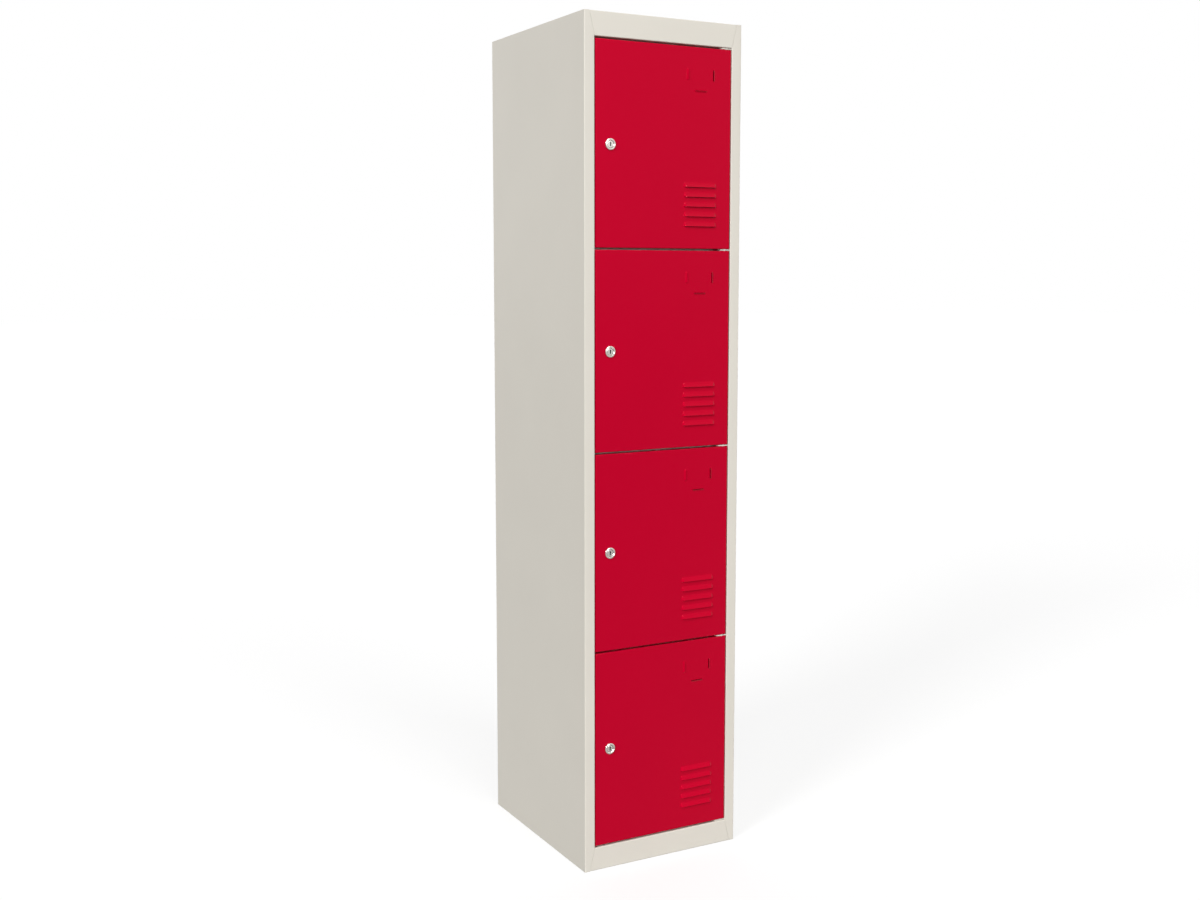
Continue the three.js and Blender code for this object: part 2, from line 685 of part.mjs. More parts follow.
function lock(number) {
  const turning = group(0, 0, 0,
    piece(`lock_plug_${number}`, lockPlug(), chrome),
    piece(`lock_cam_${number}`, lockCam(), zinc),
    piece(`cam_screw_${number}`, camScrew(), zinc));
  return group(DOOR_SWING_X - DOOR_WIDTH + LOCK_INSET, -DOOR_SWING_Y, DOOR_HEIGHT / 2,
    piece(`lock_body_${number}`, lockBody(), chrome),
    piece(`lock_nut_${number}`, lockNut(), zinc),
    turning);
}

function door(number) {
  const upperBush = piece(`hinge_bush_${number}_upper`, hingeBush(), nylon);
  upperBush.position.z = DOOR_HEIGHT;
  upperBush.rotation.x = Math.PI;
  return group(SWING_X, SWING_Y, gapMiddle(number - 1) + DOOR_GAP / 2,
    piece(`door_panel_${number}`, doorPanel(), doorPaint),
    piece(`hinge_bush_${number}_lower`, hingeBush(), nylon),
    upperBush,
    lock(number));
}

function doorBuffer(name, z) {
  const made = piece(name, buffer(), rubber);
  made.position.set(BUFFER_X, STRIKE, z);
  return made;
}

// What stands in the gap under door k + 1 and above door k.
function gapFittings(k) {
  const z = gapMiddle(k);
  const above = k < DOORS;
  const below = k > 0;
  const fittings = group(0, 0, 0, group(SWING_X, SWING_Y, z,
    piece(`hinge_plate_${k + 1}`, hingePlate(), framePaint),
    piece(`hinge_pin_${k + 1}`, hingePin(above, below), zinc)));
  if (above) fittings.add(doorBuffer(`door_buffer_${k + 1}_lower`, z + BUFFER_OFFSET));
  if (below) fittings.add(doorBuffer(`door_buffer_${k}_upper`, z - BUFFER_OFFSET));
  if (above && below) fittings.add(group(0, 0, z, piece(`shelf_${k}`, shelf(), framePaint)));
  return fittings;
}

const locker = new THREE.Group();
locker.add(
  piece('left_side_panel', sidePanel(-1), framePaint),
  piece('right_side_panel', sidePanel(1), framePaint),
  piece('top_panel', bufferHoles(topPanel(), gapMiddle(DOORS), [-1]), framePaint),
  piece('bottom_panel', bottomPanel(), framePaint),
  piece('back_panel', backPanel(), framePaint),
);
for (let k = 0; k <= DOORS; k += 1) locker.add(gapFittings(k));
for (let number = 1; number <= DOORS; number += 1) locker.add(door(number));

export default locker;
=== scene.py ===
"""The looks of a steel locker with four doors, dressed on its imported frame.

Blender works in metres and this script builds its meshes in millimetres, which place() turns into metres.
+Z is up and the doors face -Y. Doors, and what belongs to them, are numbered from the bottom up.
"""

import json
import math

import bmesh
import bpy
from mathutils import Matrix, Vector


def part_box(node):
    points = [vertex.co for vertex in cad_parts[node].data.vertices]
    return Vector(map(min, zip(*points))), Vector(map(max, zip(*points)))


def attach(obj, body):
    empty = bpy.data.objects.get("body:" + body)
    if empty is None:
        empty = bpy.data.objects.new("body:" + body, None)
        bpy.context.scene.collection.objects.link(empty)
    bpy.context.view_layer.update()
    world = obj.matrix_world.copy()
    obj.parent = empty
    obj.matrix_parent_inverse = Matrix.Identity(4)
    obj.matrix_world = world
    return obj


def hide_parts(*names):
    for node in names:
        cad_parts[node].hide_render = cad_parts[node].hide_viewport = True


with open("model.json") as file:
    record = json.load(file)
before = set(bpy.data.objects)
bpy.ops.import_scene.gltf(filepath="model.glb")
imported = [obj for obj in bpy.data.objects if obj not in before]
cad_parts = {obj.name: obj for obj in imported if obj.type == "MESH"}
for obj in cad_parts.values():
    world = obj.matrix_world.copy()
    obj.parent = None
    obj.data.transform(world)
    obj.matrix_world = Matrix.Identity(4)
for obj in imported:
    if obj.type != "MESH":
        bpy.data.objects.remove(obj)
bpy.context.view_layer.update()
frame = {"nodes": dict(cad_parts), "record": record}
nodes = frame["nodes"]
slot_of = {part["node"]: part["material_slot"] for part in frame["record"]["subparts"]}
bodies = frame["record"]["behaviour"]["bodies"]
body_of = {node: body for body, members in bodies.items() for node in members}

MM = 0.001
DOORS = (1, 2, 3, 4)
PINS = (1, 2, 3, 4, 5)

# Sheet and folds
SHEET = 0.8
BEND = 1.0
BEND_STEPS = 8
EDGE_ROUND = 0.25
CABINET_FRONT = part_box("left_side_panel")[0].y / MM

# Segments of turned pieces, clearance at seats, overlap of joined faces and overrun of cutters
SEGMENTS = 56
SEAT = 0.1
LAP = 0.1
OVERRUN = 6.0

# Distances that count as none, in millimetres while a mesh is built and in metres on a finished one
SAME_POINT = 1e-5
SAME_PLANE = 1e-6
SAME_PLACED_POINT = 1e-7
SAME_NODE_POINT = 1e-5

# Angles between faces in degrees: over the first two an edge stays hard, over the third it is rounded
FINE_CREASE = 32
FOLD_CREASE = 38
EDGE_CREASE = 50

# Doors, with x = 0 at the left edge, y = 0 at the front face and z = 0 at the lower edge
door_low, door_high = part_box("door_panel_1")
DOOR_WIDTH = (door_high.x - door_low.x) / MM
DOOR_HEIGHT = (door_high.z - door_low.z) / MM
DOOR_FOLD = 16.0
DOOR_LIP = 14.0
LIP_SLIT = 0.4
PIN_X = DOOR_WIDTH - 11.0
PIN_Y = 6.0

# Pressings
PRESSING_X = DOOR_WIDTH - 76.0
LOUVRES = 5
LOUVRE_RISE = 47.0
LOUVRE_PITCH = 20.6
LOUVRE = {"length": 82.0, "reach": 11.0, "end": 5.0, "depth": 4.0}
CARD_WIDTH = 63.0
CARD_DROP = 57.0
CARD_FOOT_DROP = 90.0
CARD_LIP = {"length": 26.0, "reach": 3.8, "end": 3.0, "depth": 2.2}
CARD_FOOT = {"length": 32.0, "reach": 3.8, "end": 3.0, "depth": 2.2}
PRESS_FADE = 1.5
PRESS_SLIT = 0.6
PRESS_STEPS = 12
PRESS_ROUND = 14

# Hinges
BUSH_RADIUS = 3.6
BUSH_BORE = 2.7
BUSH_LENGTH = 5.0
BUSH_FLANGE = 0.7
BUSH_FLANGE_RADIUS = 4.8
BUSH_ROUND = 0.2
PIN_RADIUS = 2.5
PIN_CHAMFER = 0.6
PIN_ROUND = 0.3

# Door buffers, with y = 0 on the front of their sheet
BUFFER_HEAD = 6.0
BUFFER_RADIUS = 4.0
BUFFER_CHAMFER = 1.0
BUFFER_NECK = 1.8
BUFFER_BULB = 2.8
BUFFER_TIP = 3.0
BUFFER_ROUND = 0.5

# Cam lock, with y = 0 on the door's front face
LOCK_X = 34.0
BEZEL_RADIUS = 12.0
BEZEL_FACE_RADIUS = 10.4
BEZEL_HEIGHT = 3.2
BEZEL_RECESS = 1.6
BEZEL_BEVEL = 1.2
BEZEL_RIM = 0.4
BEZEL_SHOULDER = 0.8
BEZEL_EDGE = 1.8
BEZEL_ROUND = 0.9
BARREL_RADIUS = 9.0
BARREL_FLATS = 16.0
BARREL = 22.7
BARREL_PLAIN = 1.5
BORE_PLAY = 0.15
BORE_ROUND = 0.25
THREAD_PITCH = 1.0
THREAD_DEPTH = 0.5
PLUG_RADIUS = 6.0
PLUG_HEAD_RADIUS = 7.6
PLUG_HEAD = 1.6
PLUG_PLAY = 0.3
PLUG_CHAMFER = 0.5
PLUG_ROUND = 0.35
KEYWAY_DEPTH = 20.0
KEYWAY_WIDTH = 2.4
KEYWAY_HEIGHT = 8.6
KEYWAY_CORNER = 0.4
WARD = 0.7
WARD_LOW = 0.4
WARD_HIGH = 3.0
WAFER = 1.2
WAFER_SLANT = 1.0
WAFER_REACH = 2.0
WAFER_FOOT = -4.6
WAFER_DEPTHS_AND_TOPS = ((7.0, -2.4), (9.5, -1.9), (12.0, -1.4), (14.5, -2.4))
NUT_FLATS = 22.0
NUT_HEIGHT = 4.0
NUT_FRONT_CHAMFER = (0.9, 0.5)
NUT_BACK_CHAMFER = (1.6, 0.8)
NUT_BORE_CHAMFER = 0.5
NUT_SEGMENTS = 72
CAM = 2.0
CAM_WIDTH = 16.0
CAM_TIP_WIDTH = 12.0
CAM_REACH = 45.0
TANG = 7.0
SCREW_RADIUS = 2.5
SCREW_LENGTH = 8.0
SCREW_PITCH = 0.8
SCREW_THREAD = 0.4
SCREW_HEAD_RADIUS = 4.6
SCREW_HEAD = 3.0
SCREW_HEAD_EDGE = 1.3
SCREW_CROWN_RADIUS = 3.2
SCREW_CROWN = 0.25
SCREW_TOP_RADIUS = 1.4
SCREW_ROUND = 0.8
SCREW_SLOT = 0.8


# Solids


def solid(points, faces):
    """A closed mesh in millimetres, with doubled points merged and its faces pointing out."""
    mesh = bpy.data.meshes.new("solid")
    mesh.from_pydata([tuple(p) for p in points], [], faces)
    bm = bmesh.new()
    bm.from_mesh(mesh)
    bmesh.ops.remove_doubles(bm, verts=bm.verts, dist=SAME_POINT)
    bmesh.ops.recalc_face_normals(bm, faces=bm.faces)
    bm.to_mesh(mesh)
    bm.free()
    made = bpy.data.objects.new("solid", mesh)
    bpy.context.scene.collection.objects.link(made)
    return made


def prism(outline, start, end, axis):
    """An outline carried along an axis; it is drawn in the other two, in the order x, y, z."""
    order = {"x": (2, 0, 1), "y": (0, 2, 1), "z": (0, 1, 2)}[axis]
    points = []
    for t in (start, end):
        points += [[(u, v, t)[i] for i in order] for u, v in outline]
    n = len(outline)
    sides = [(i, (i + 1) % n, n + (i + 1) % n, n + i) for i in range(n)]
    return solid(points, [tuple(range(n)), tuple(range(2 * n - 1, n - 1, -1)), *sides])


def block(x0, x1, y0, y1, z0, z1):
    return prism([(x0, y0), (x1, y0), (x1, y1), (x0, y1)], z0, z1, "z")


def lathe(profile, axis, segments=SEGMENTS, radius_shift=None):
    """A profile of (radius, height) turned about an axis.

    It closes on itself, or starts and ends on the axis.
    """
    closed = profile[0] == profile[-1]
    points, rings = [], []
    for radius, height in profile[:-1] if closed else profile:
        ring = []
        for k in range(segments if radius else 1):
            angle = 2 * math.pi * k / segments
            r = radius + (radius_shift(radius, height, k / segments) if radius_shift else 0)
            u, v = r * math.cos(angle), r * math.sin(angle)
            ring.append(len(points))
            points.append((u, height, v) if axis == "y" else (u, v, height))
        rings.append(ring)
    faces = []
    for low, high in zip(rings, rings[1:] + rings[:1] if closed else rings[1:]):
        for k in range(segments):
            m = (k + 1) % segments
            corners = (low[k % len(low)], low[m % len(low)], high[m % len(high)], high[k % len(high)])
            faces.append(tuple(dict.fromkeys(corners)))
    return solid(points, faces)


def rounded(profile, radius, steps):
    """The profile with every corner but its ends turned into a small arc."""
    nearly_straight = math.radians(88)
    most_of_side = 0.45
    closed = profile[0] == profile[-1]
    corners = [Vector(p) for p in (profile[:-1] if closed else profile)]
    n = len(corners)
    made = []
    for i, corner in enumerate(corners):
        if not closed and i in (0, n - 1):
            made.append(tuple(corner))
            continue
        before, after = corners[i - 1] - corner, corners[(i + 1) % n] - corner
        half = before.angle(after) / 2
        if half > nearly_straight:
            made.append(tuple(corner))
            continue
        leg = min(radius / math.tan(half), most_of_side * before.length, most_of_side * after.length)
        arc = leg * math.tan(half)
        start, end = corner + before.normalized() * leg, corner + after.normalized() * leg
        centre = corner + (before.normalized() + after.normalized()).normalized() * math.hypot(leg, arc)
        for step in range(steps + 1):
            share = step / steps
            spoke = (start - centre) * (1 - share) + (end - centre) * share
            made.append(tuple(centre + spoke.normalized() * arc))
    return [*made, made[0]] if closed else made


def need_closed(part):
    """Stops the script where a solid has an open edge, which a Boolean would pass over without a word."""
    bm = bmesh.new()
    bm.from_mesh(part.data)
    loose = sum(not edge.is_manifold for edge in bm.edges)
    bm.free()
    if loose:
        raise ValueError(f"{loose} open edges")


def combine(a, b, operation):
    """Joins, cuts or intersects two solids; b is used up."""
    need_closed(a)
    need_closed(b)
    step = a.modifiers.new("step", "BOOLEAN")
    step.operation, step.solver, step.object = operation, "MANIFOLD", b
    made = bpy.data.meshes.new_from_object(a.evaluated_get(bpy.context.evaluated_depsgraph_get()))
    a.modifiers.clear()
    old = [a.data, b.data]
    a.data = made
    bpy.data.objects.remove(b)
    for mesh in old:
        bpy.data.meshes.remove(mesh)
    return a


def join(a, b):
    return combine(a, b, "UNION")


def cut(a, b):
    return combine(a, b, "DIFFERENCE")


def common(a, b):
    return combine(a, b, "INTERSECT")


def side_by_side(parts):
    """Solids that don't touch each other, held as one."""
    bm = bmesh.new()
    for part in parts:
        bm.from_mesh(part.data)
    made = parts[0]
    bm.to_mesh(made.data)
    bm.free()
    for part in parts[1:]:
        bpy.data.objects.remove(part)
    return made


def moved(part, matrix):
    part.data.transform(matrix)
    return part


# Pieces


def smooth_edges(mesh, limit):
    """Smooth faces, with a hard edge wherever two faces meet at more than the limit."""
    bm = bmesh.new()
    bm.from_mesh(mesh)
    bmesh.ops.remove_doubles(bm, verts=bm.verts, dist=SAME_PLACED_POINT)
    for face in bm.faces:
        face.smooth = True
    for edge in bm.edges:
        edge.smooth = len(edge.link_faces) == 2 and edge.calc_face_angle(0.0) < limit
    bm.to_mesh(mesh)
    bm.free()


def place(part, node, origin, copy=False):
    """Makes a solid into the piece that stands for a node, with its own origin moved to a place."""
    mesh = part.data.copy() if copy else part.data
    piece = bpy.data.objects.new(f"{node}_fine", mesh)
    bpy.context.scene.collection.objects.link(piece)
    if not copy:
        bpy.data.objects.remove(part)
    mesh.name = f"{node}_fine"
    mesh.transform(Matrix.Scale(MM, 4) @ Matrix.Translation(origin))
    smooth_edges(mesh, math.radians(FINE_CREASE))
    mesh.materials.clear()
    mesh.materials.append(materials[slot_of[node]])
    even = piece.modifiers.new("even", "WEIGHTED_NORMAL")
    even.keep_sharp = True
    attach(piece, body_of[node])
    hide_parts(node)
    return piece


def front_folded(x0, x1, y0, y1, z0, z1, radius):
    """A block whose edges round its front are round folds."""

    def outline(u0, u1):
        points = [(u1, y1), (u0, y1)]
        for middle, start in ((u0 + radius, math.pi), (u1 - radius, 1.5 * math.pi)):
            for step in range(BEND_STEPS + 1):
                angle = start + step * math.pi / 2 / BEND_STEPS
                points.append((middle + radius * math.cos(angle), y0 + radius + radius * math.sin(angle)))
        return points

    plan = prism(outline(x0, x1), z0, z1, "z")
    elevation = prism([(y, z) for z, y in outline(z0, z1)], x0, x1, "x")
    return common(plan, elevation)


def hump(length, reach, end, depth, root, mouth=0.0):
    """The upper half of a bulge pressed out of a sheet whose front is y = 0, with its open side at z = 0.

    Its height fades to nothing over its reach upwards and faster at its two ends, steepest next to the
    open side. A mouth carries the open side further down.
    """
    half = length / 2 - end
    rays = [(-half, math.pi * (1 - step / 2 / PRESS_ROUND)) for step in range(PRESS_ROUND + 1)]
    rays += [(half, math.pi * (1 - step / PRESS_ROUND) / 2) for step in range(PRESS_ROUND + 1)]
    points = []
    for x, angle in rays:
        for step in range(PRESS_STEPS + 1):
            share = step / PRESS_STEPS
            height = -depth * (1 - share) ** PRESS_FADE
            points.append((x + end * share * math.cos(angle), height, reach * share * math.sin(angle)))
    row = PRESS_STEPS + 1
    last = (len(rays) - 1) * row
    outer = [i * row + PRESS_STEPS for i in range(len(rays))]
    foot = len(points)
    points += [(points[i][0], root, points[i][2]) for i in outer]
    faces = []
    for i in range(len(rays) - 1):
        for step in range(PRESS_STEPS):
            a = i * row + step
            faces.append((a, a + 1, a + 1 + row, a + row))
        faces.append((outer[i], foot + i, foot + i + 1, outer[i + 1]))
    faces.append(tuple(range(foot, len(points))))
    middle = [PRESS_ROUND * row, (PRESS_ROUND + 1) * row]
    rim = [foot, *range(PRESS_STEPS, 0, -1), *middle, *range(last + 1, last + row), len(points) - 1]
    faces.append(tuple(rim))
    made = solid(points, faces)
    if mouth:
        bm = bmesh.new()
        bm.from_mesh(made.data)
        opening = [face for face in bm.faces if all(abs(v.co.z) < SAME_PLANE for v in face.verts)]
        drawn = bmesh.ops.extrude_face_region(bm, geom=opening)["geom"]
        corners = [part for part in drawn if isinstance(part, bmesh.types.BMVert)]
        bmesh.ops.translate(bm, vec=(0, 0, -mouth), verts=corners)
        bmesh.ops.delete(bm, geom=opening, context="FACES_ONLY")
        bmesh.ops.recalc_face_normals(bm, faces=bm.faces)
        bm.to_mesh(made.data)
        bm.free()
    return made


def door():
    """A pan folded on four sides, with lips round its back, louvres and card lips."""
    width, height, back = DOOR_WIDTH, DOOR_HEIGHT, DOOR_FOLD + OVERRUN
    pan = front_folded(0, width, 0, DOOR_FOLD, 0, height, BEND + SHEET)
    inside = front_folded(SHEET, width - SHEET, SHEET, DOOR_FOLD - SHEET, SHEET, height - SHEET, BEND)
    window = block(DOOR_LIP, width - DOOR_LIP, DOOR_FOLD - OVERRUN, back, DOOR_LIP, height - DOOR_LIP)
    pan = cut(cut(pan, inside), window)
    slits = []
    across, bottom = 2 * DOOR_LIP, DOOR_FOLD - SHEET * 1.5
    for x, slant_x in ((0, 1), (width, -1)):
        for z, slant_z in ((0, 1), (height, -1)):
            slit = block(-across, across, bottom, back, -LIP_SLIT / 2, LIP_SLIT / 2)
            turn = Matrix.Rotation(-slant_x * slant_z * math.pi / 4, 4, "Y")
            slits.append(moved(slit, Matrix.Translation((x, 0, z)) @ turn))
    pan = cut(pan, side_by_side(slits))
    pressings = [((PRESSING_X, LOUVRE_RISE + k * LOUVRE_PITCH), 0, LOUVRE) for k in range(LOUVRES)]
    for side in (-1, 1):
        middle = (PRESSING_X + side * CARD_WIDTH / 2, height - CARD_DROP)
        pressings.append((middle, side * math.pi / 2, CARD_LIP))
    pressings.append(((PRESSING_X, height - CARD_FOOT_DROP), math.pi, CARD_FOOT))
    skins, hollows = [], []
    for (x, z), angle, size in pressings:
        at = Matrix.Translation((x, 0, z)) @ Matrix.Rotation(angle, 4, "Y")
        length, reach, end, depth = size["length"], size["reach"], size["end"], size["depth"]
        skins.append(moved(hump(length, reach, end, depth, SHEET / 2), at))
        inner = hump(length - 2 * SHEET, reach - SHEET, end - SHEET, depth, SHEET + OVERRUN, PRESS_SLIT)
        hollows.append(moved(inner, at @ Matrix.Translation((0, SHEET, 0))))
    pan = join(pan, side_by_side(skins))
    pan = cut(pan, side_by_side(hollows))
    hole, top = BUSH_RADIUS + SEAT, height + OVERRUN
    pin_hole = lathe([(0, -OVERRUN), (hole, -OVERRUN), (hole, top), (0, top)], "z")
    lock_hole = barrel(BARREL_RADIUS + SEAT, BARREL_FLATS + 2 * SEAT, -OVERRUN, OVERRUN)
    holes = [
        moved(pin_hole, Matrix.Translation((PIN_X, PIN_Y, 0))),
        moved(lock_hole, Matrix.Translation((LOCK_X, 0, height / 2))),
    ]
    return cut(pan, side_by_side(holes))


def barrel(radius, flats, y0, y1):
    """A round bar along Y with two flats."""
    bar = lathe([(0, y0), (radius, y0), (radius, y1), (0, y1)], "y")
    return common(bar, block(-flats / 2, flats / 2, y0 - OVERRUN, y1 + OVERRUN, -2 * radius, 2 * radius))


def threaded(radius, pitch, depth, y0, y1, plain, per_turn=6):
    """A bar along Y with a screw thread from y0 to y1, after a plain stretch at its start."""
    steepness, crest = 1.25, 0.12
    count = round((y1 - y0 - plain) / pitch * per_turn)
    rows = [(0.0, y0), (radius, y0)]
    rows += [(radius, y0 + plain + i * (y1 - y0 - plain) / count) for i in range(count)]
    rows += [(radius - depth, y1), (0.0, y1)]

    def groove(r, y, turn):
        if r != radius or y <= y0 + plain:
            return 0.0
        wave = abs(((y / pitch + turn) % 1.0) * 2 - 1)
        fade = min(1.0, (y - y0 - plain) / pitch)
        return -depth * fade * min(1.0, max(0.0, steepness * wave - crest))

    return lathe(rows, "y", SEGMENTS, groove)


def lock_body():
    face = -SEAT - BEZEL_HEIGHT
    head_hole = PLUG_HEAD_RADIUS + SEAT
    bore = PLUG_RADIUS + BORE_PLAY
    half, reach = BARREL_FLATS / 2, 2 * BARREL_RADIUS
    body = threaded(BARREL_RADIUS, THREAD_PITCH, THREAD_DEPTH, -2 * SEAT, BARREL, BARREL_PLAIN)
    body = common(body, block(-half, half, -OVERRUN, BARREL + OVERRUN, -reach, reach))
    bezel = [
        (0, face + 2 * LAP),
        (PLUG_HEAD_RADIUS, face + 2 * LAP),
        (PLUG_HEAD_RADIUS + BEZEL_BEVEL, face),
        (BEZEL_FACE_RADIUS, face),
        (BEZEL_RADIUS - BEZEL_RIM, face + BEZEL_SHOULDER),
        (BEZEL_RADIUS, face + BEZEL_EDGE),
        (BEZEL_RADIUS, -SEAT),
        (0, -SEAT),
    ]
    body = join(body, lathe(rounded(bezel, BEZEL_ROUND, steps=6), "y"))
    step = face + BEZEL_RECESS + PLUG_HEAD + SEAT
    inside = [
        (0, face - OVERRUN),
        (head_hole + BEZEL_BEVEL, face - OVERRUN),
        (head_hole + BEZEL_BEVEL, face + LAP),
        (head_hole, face + BEZEL_RECESS - LAP),
        (head_hole, step),
        (bore, step),
        (bore, BARREL + OVERRUN),
        (0, BARREL + OVERRUN),
    ]
    return cut(body, lathe(rounded(inside, BORE_ROUND, steps=3), "y"))


def keyway_outline():
    """The keyway, with a ward that widens it to one side."""
    x, z, corner = KEYWAY_WIDTH / 2, KEYWAY_HEIGHT / 2, KEYWAY_CORNER
    lower = [(-x, corner - z), (corner - x, -z), (x - corner, -z), (x, corner - z)]
    ward = [(x, WARD_LOW), (x + WARD, WARD_LOW + WARD), (x + WARD, WARD_HIGH - WARD), (x, WARD_HIGH)]
    upper = [(x, z - corner), (x - corner, z), (corner - x, z), (-x, z - corner)]
    return [*lower, *ward, *upper]


def lock_plug():
    face = -SEAT - BEZEL_HEIGHT + BEZEL_RECESS
    tang_end = BARREL + SEAT + CAM
    head = PLUG_HEAD_RADIUS - PLUG_PLAY
    shank = [
        (0, face),
        (head - PLUG_CHAMFER, face),
        (head, face + PLUG_CHAMFER),
        (head, face + PLUG_HEAD),
        (PLUG_RADIUS, face + PLUG_HEAD),
        (PLUG_RADIUS, BARREL - SEAT),
        (0, BARREL - SEAT),
    ]
    plug = lathe(rounded(shank, PLUG_ROUND, steps=4), "y")
    plug = join(plug, block(-TANG / 2, TANG / 2, BARREL - OVERRUN, tang_end, -TANG / 2, TANG / 2))
    plug = cut(plug, prism(keyway_outline(), face - OVERRUN, face + KEYWAY_DEPTH, "y"))
    wafers = []
    for depth, top in WAFER_DEPTHS_AND_TOPS:
        front, back = face + depth, face + depth + WAFER
        outline = [(front, WAFER_FOOT), (back, WAFER_FOOT), (back, top), (front + WAFER_SLANT, top)]
        wafers.append(prism(outline, -WAFER_REACH, WAFER_REACH, "x"))
    plug = join(plug, side_by_side(wafers))
    bottom, hole, top = tang_end - SCREW_LENGTH - SEAT, SCREW_RADIUS + SEAT, tang_end + OVERRUN
    return cut(plug, lathe([(0, bottom), (hole, bottom), (hole, top), (0, top)], "y"))


def hexagon(flats):
    reach = flats / 2 / math.cos(math.pi / 6)
    return [(reach * math.cos(k * math.pi / 3), reach * math.sin(k * math.pi / 3)) for k in range(6)]


def lock_nut():
    front = SHEET + SEAT
    back = front + NUT_HEIGHT
    reach = NUT_FLATS / 2 / math.cos(math.pi / 6)
    nut = prism(hexagon(NUT_FLATS), front, back, "y")
    corners = [
        (0, front),
        (reach - NUT_FRONT_CHAMFER[0], front),
        (reach, front + NUT_FRONT_CHAMFER[1]),
        (reach, back - NUT_BACK_CHAMFER[1]),
        (reach - NUT_BACK_CHAMFER[0], back),
        (0, back),
    ]
    nut = common(nut, lathe(corners, "y", NUT_SEGMENTS))
    hole, chamfer = BARREL_RADIUS + SEAT, NUT_BORE_CHAMFER
    bore = [
        (0, -OVERRUN),
        (hole + chamfer, -OVERRUN),
        (hole + chamfer, front),
        (hole, front + chamfer),
        (hole, back - chamfer),
        (hole + chamfer, back),
        (hole + chamfer, back + OVERRUN),
        (0, back + OVERRUN),
    ]
    return cut(nut, lathe(bore, "y"))


def lock_cam():
    """The cam, hanging down from the lock's axis as it does when the lock is open."""
    front = BARREL + SEAT
    tip_middle = CAM_TIP_WIDTH / 2 - CAM_REACH
    steps = 24
    low = [math.pi + math.pi * k / steps for k in range(steps + 1)]
    high = [math.pi * k / steps for k in range(steps + 1)]
    shape = [(CAM_TIP_WIDTH / 2 * math.cos(a), tip_middle + CAM_TIP_WIDTH / 2 * math.sin(a)) for a in low]
    shape += [(CAM_WIDTH / 2 * math.cos(a), CAM_WIDTH / 2 * math.sin(a)) for a in high]
    half = TANG / 2 + SEAT
    blank = prism(shape, front, front + CAM, "y")
    return cut(blank, block(-half, half, front - OVERRUN, front + CAM + OVERRUN, -half, half))


def cam_screw():
    seat = BARREL + SEAT + CAM + SEAT
    top = seat + SCREW_HEAD
    screw = threaded(SCREW_RADIUS, SCREW_PITCH, SCREW_THREAD, seat - SCREW_LENGTH, seat, SCREW_THREAD)
    head = [
        (0, seat),
        (SCREW_HEAD_RADIUS, seat),
        (SCREW_HEAD_RADIUS, seat + SCREW_HEAD_EDGE),
        (SCREW_CROWN_RADIUS, top - SCREW_CROWN),
        (SCREW_TOP_RADIUS, top),
        (0, top),
    ]
    screw = join(screw, lathe(rounded(head, SCREW_ROUND, steps=5), "y"))
    across = SCREW_HEAD_RADIUS + OVERRUN
    slot = block(-across, across, seat + SCREW_HEAD / 2, top + OVERRUN, -SCREW_SLOT / 2, SCREW_SLOT / 2)
    return cut(screw, slot)


def bush():
    """A flanged bush in a door's lower flange, with z = 0 on the door's lower edge."""
    ring = [
        (BUSH_BORE, -BUSH_FLANGE),
        (BUSH_FLANGE_RADIUS, -BUSH_FLANGE),
        (BUSH_FLANGE_RADIUS, -SEAT),
        (BUSH_RADIUS, -SEAT),
        (BUSH_RADIUS, BUSH_LENGTH),
        (BUSH_BORE, BUSH_LENGTH),
        (BUSH_BORE, -BUSH_FLANGE),
    ]
    return lathe(rounded(ring, BUSH_ROUND, steps=3), "z")


def pin(bottom, top):
    """A hinge pin with z = 0 in the middle of its plate."""
    radius, end = PIN_RADIUS, PIN_RADIUS - PIN_CHAMFER
    side = [(radius, bottom + PIN_CHAMFER), (radius, top - PIN_CHAMFER)]
    profile = [(0, bottom), (end, bottom), *side, (end, top), (0, top)]
    return lathe(rounded(profile, PIN_ROUND, steps=3), "z")


def buffer():
    """A rubber buffer, whose bulb behind its sheet keeps it from falling out."""
    shape = [
        (0, -BUFFER_HEAD),
        (BUFFER_RADIUS - BUFFER_CHAMFER, -BUFFER_HEAD),
        (BUFFER_RADIUS, BUFFER_CHAMFER - BUFFER_HEAD),
        (BUFFER_RADIUS, -SEAT),
        (BUFFER_NECK, -SEAT),
        (BUFFER_NECK, SHEET + SEAT),
        (BUFFER_BULB, SHEET + SEAT),
        (BUFFER_NECK, SHEET + BUFFER_TIP),
        (0, SHEET + BUFFER_TIP),
    ]
    return lathe(rounded(shape, BUFFER_ROUND, steps=5), "y")


# Materials

FRAME_COLOUR = (0.735, 0.700, 0.625)
DOOR_COLOUR = (0.50, 0.0, 0.021)
DOOR_SHEEN = (1.0, 0.0, 0.04, 1.0)
ZINC_COLOUR = (0.58, 0.58, 0.56)
NICKEL_COLOUR = (0.86, 0.83, 0.77)
NYLON_COLOUR = (0.8, 0.78, 0.72)
RUBBER_COLOUR = (0.012, 0.012, 0.013)
PAINT_ROUGHNESS = 0.28

# How far noise takes colour and roughness, and the depths of the reliefs in metres
PAINT_TONE = 0.03
PLATE_TONE = 0.12
MOULD_TONE = 0.1
PAINT_GLOSS = 0.09
PLATE_GLOSS = 0.16
MOULD_GLOSS = 0.1
SHEET_WAVE = 0.0006
ORANGE_PEEL = 0.00002
PAINT_GRAIN = 0.000004
PLATE_GRAIN = 0.000012
MOULD_GRAIN = 0.000015

# Painted shade on the lock: depths behind the plug's face where it starts and where it is full, and the
# share of the colour it leaves
SHADE_START_DEPTH = 0.2
SHADE_FULL_DEPTH = 1.5
SHADE_SHARE = 0.15


